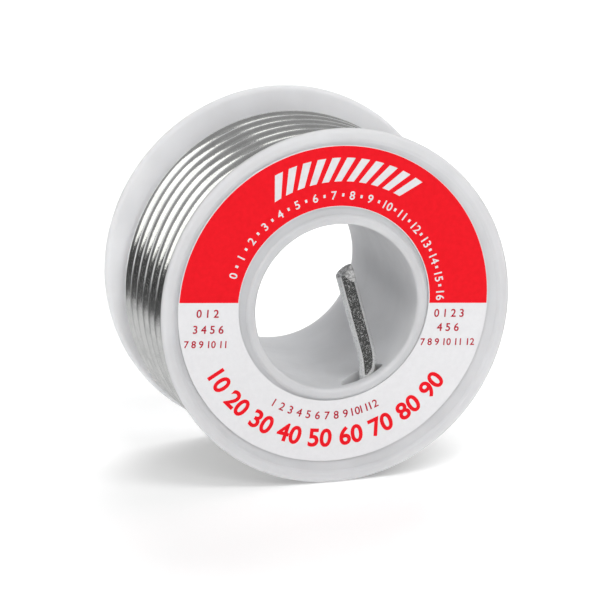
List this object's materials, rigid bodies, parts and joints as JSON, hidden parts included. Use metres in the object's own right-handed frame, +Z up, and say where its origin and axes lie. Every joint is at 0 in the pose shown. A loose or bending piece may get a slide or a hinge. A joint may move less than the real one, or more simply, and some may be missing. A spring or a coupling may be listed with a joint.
{
  "type": "solder wire spool",
  "caption": "Spool of thick solder wire: two round plastic flanges on a wide hollow hub, a ring label on the front, and the wire's cut start end standing in the bore.",
  "frame": {"origin": "middle of the spool's axis, which is the centre of its bounding box", "axes": "+Z up as the spool stands on its flange rims, +Y along the spool's axis from the labelled front flange to the rear flange, +X to the right seen from the front"},
  "size_m": [0.0634, 0.0368, 0.0634],
  "materials": {
    "natural_plastic": "translucent natural polypropylene, satin as moulded",
    "label_paper": "coated label paper, red above and white below",
    "solder": "bright drawn tin and antimony solder, scuffed in places"
  },
  "bodies": {
    "root": {"spool": "natural_plastic", "front_label": "label_paper", "wire_start_end": "solder", "wire_inner_layers": "solder", "wire_outer_layer": "solder"}
  },
  "joints": []
}
